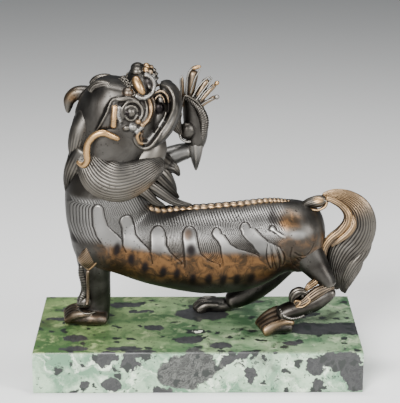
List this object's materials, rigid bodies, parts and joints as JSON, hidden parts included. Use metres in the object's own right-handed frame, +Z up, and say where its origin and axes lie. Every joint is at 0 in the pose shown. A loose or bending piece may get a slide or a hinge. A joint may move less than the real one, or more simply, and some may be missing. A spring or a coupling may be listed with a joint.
{
  "type": "bronze lion figure on a marble slab",
  "caption": "Cast bronze guardian lion on three legs, head thrown back and one forepaw raised, on a rectangular green marble slab.",
  "frame": {"origin": "centre of the marble slab's underside", "axes": "+Z up; +X along the slab from the lion's breast to its tail; +Y towards the side of the raised forepaw"},
  "size_m": [0.1601, 0.076, 0.1469],
  "materials": {
    "green_marble": null,
    "patinated_bronze": null
  },
  "bodies": {
    "root": {"marble_base": "green_marble", "bronze_lion": "patinated_bronze"}
  },
  "joints": []
}
